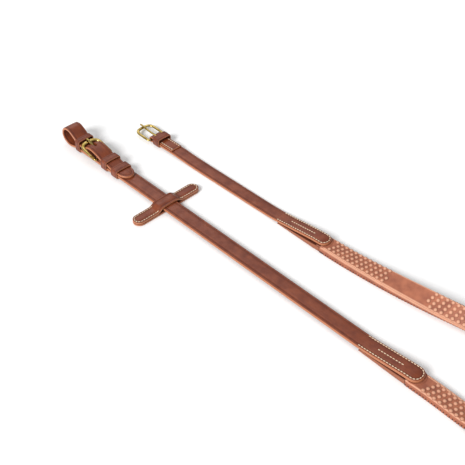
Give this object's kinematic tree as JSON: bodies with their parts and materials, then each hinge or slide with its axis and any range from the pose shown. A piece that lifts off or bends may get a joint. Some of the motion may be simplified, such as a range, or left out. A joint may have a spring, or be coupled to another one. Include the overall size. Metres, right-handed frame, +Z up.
{
  "type": "leather riding rein",
  "caption": "Brown leather riding rein with a pimpled rubber grip, a buckled bit loop, leather keepers, a sliding rein stop and a small hand buckle.",
  "frame": {"origin": "on the surface the rein lies on, under the middle of its bounding box", "axes": "+X along the straps from the buckles towards the turn of the grip, +Y from the bit end towards the hand end, +Z up from the surface, out of the grain side"},
  "size_m": [0.6824, 0.1398, 0.0219],
  "materials": {
    "bridle_leather": "waxed grain leather, creased and burnished along its edges",
    "lining_leather": "darker skived leather",
    "brass": "polished solid brass",
    "grip_rubber": "matt terracotta rubber with small pimples",
    "web": "woven core strip"
  },
  "bodies": {
    "rein": {"bit_strap": "bridle_leather", "bit_chape": "lining_leather", "loop_keeper": "bridle_leather", "fixed_keeper": "bridle_leather", "hand_strap": "bridle_leather", "hand_keeper": "bridle_leather", "bit_lap_tongue": "lining_leather", "hand_lap_tongue": "lining_leather", "grip_cover": "grip_rubber", "grip_core": "web", "grip_underside": "grip_rubber"},
    "stop": {"rein_stop_upper": "bridle_leather", "rein_stop_lower": "bridle_leather"},
    "runner": {"running_keeper": "bridle_leather"},
    "bit_buckle": {"bit_buckle_frame": "brass"},
    "bit_tongue": {"bit_buckle_tongue": "brass"},
    "hand_buckle": {"hand_buckle_frame": "brass"},
    "hand_tongue": {"hand_buckle_tongue": "brass"}
  },
  "joints": [
    {"name": "rein_stop_slide", "type": "slide", "parent": "rein", "child": "stop", "axis": [1, 0, 0], "range_m": [-0.044, 0.25]},
    {"name": "running_keeper_slide", "type": "slide", "parent": "rein", "child": "runner", "axis": [1, 0, 0], "range_m": [-0.002, 0.013]},
    {"name": "bit_buckle_hinge", "type": "hinge", "parent": "rein", "child": "bit_buckle", "pos_m": [-0.2784, -0.02741, 0.0085], "axis": [0, 1, 0], "range_deg": [0, 2]},
    {"name": "bit_tongue_hinge", "type": "hinge", "parent": "bit_buckle", "child": "bit_tongue", "pos_m": [-0.2784, -0.02741, 0.0085], "axis": [0, 1, 0], "range_deg": [0, 2]},
    {"name": "hand_buckle_hinge", "type": "hinge", "parent": "rein", "child": "hand_buckle", "pos_m": [-0.2713, 0.04069, 0.0036], "axis": [0, 1, 0], "range_deg": [0, 45]},
    {"name": "hand_tongue_hinge", "type": "hinge", "parent": "hand_buckle", "child": "hand_tongue", "pos_m": [-0.2713, 0.04069, 0.0036], "axis": [0, 1, 0], "range_deg": [0, 65]}
  ]
}
